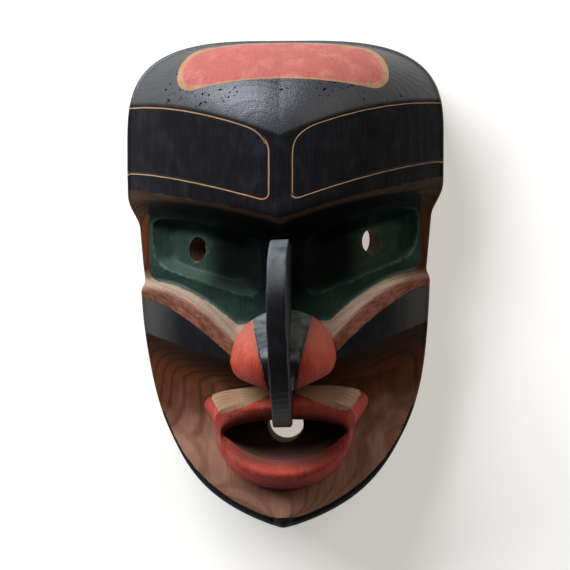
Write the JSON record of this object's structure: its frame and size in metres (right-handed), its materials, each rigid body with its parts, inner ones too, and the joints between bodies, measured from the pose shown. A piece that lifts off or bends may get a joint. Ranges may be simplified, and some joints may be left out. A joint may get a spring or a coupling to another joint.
{
  "type": "carved and painted face mask",
  "caption": "Carved cedar face mask with a two-panel brow, sunken eyes, a hooked beak, a flared nose and parted lips, hollowed behind and lying on its rim.",
  "frame": {"origin": "bottom centre of the mask's box as it lies face up on its back rim", "axes": "+Z out of the face, +Y towards the forehead, +X to the right of someone who looks at the face"},
  "size_m": [0.196, 0.3018, 0.141],
  "materials": {
    "painted_cedar": "carved cedar, part bare and oiled, part painted in matt black, red and green"
  },
  "bodies": {
    "root": {"mask": "painted_cedar"}
  },
  "joints": []
}
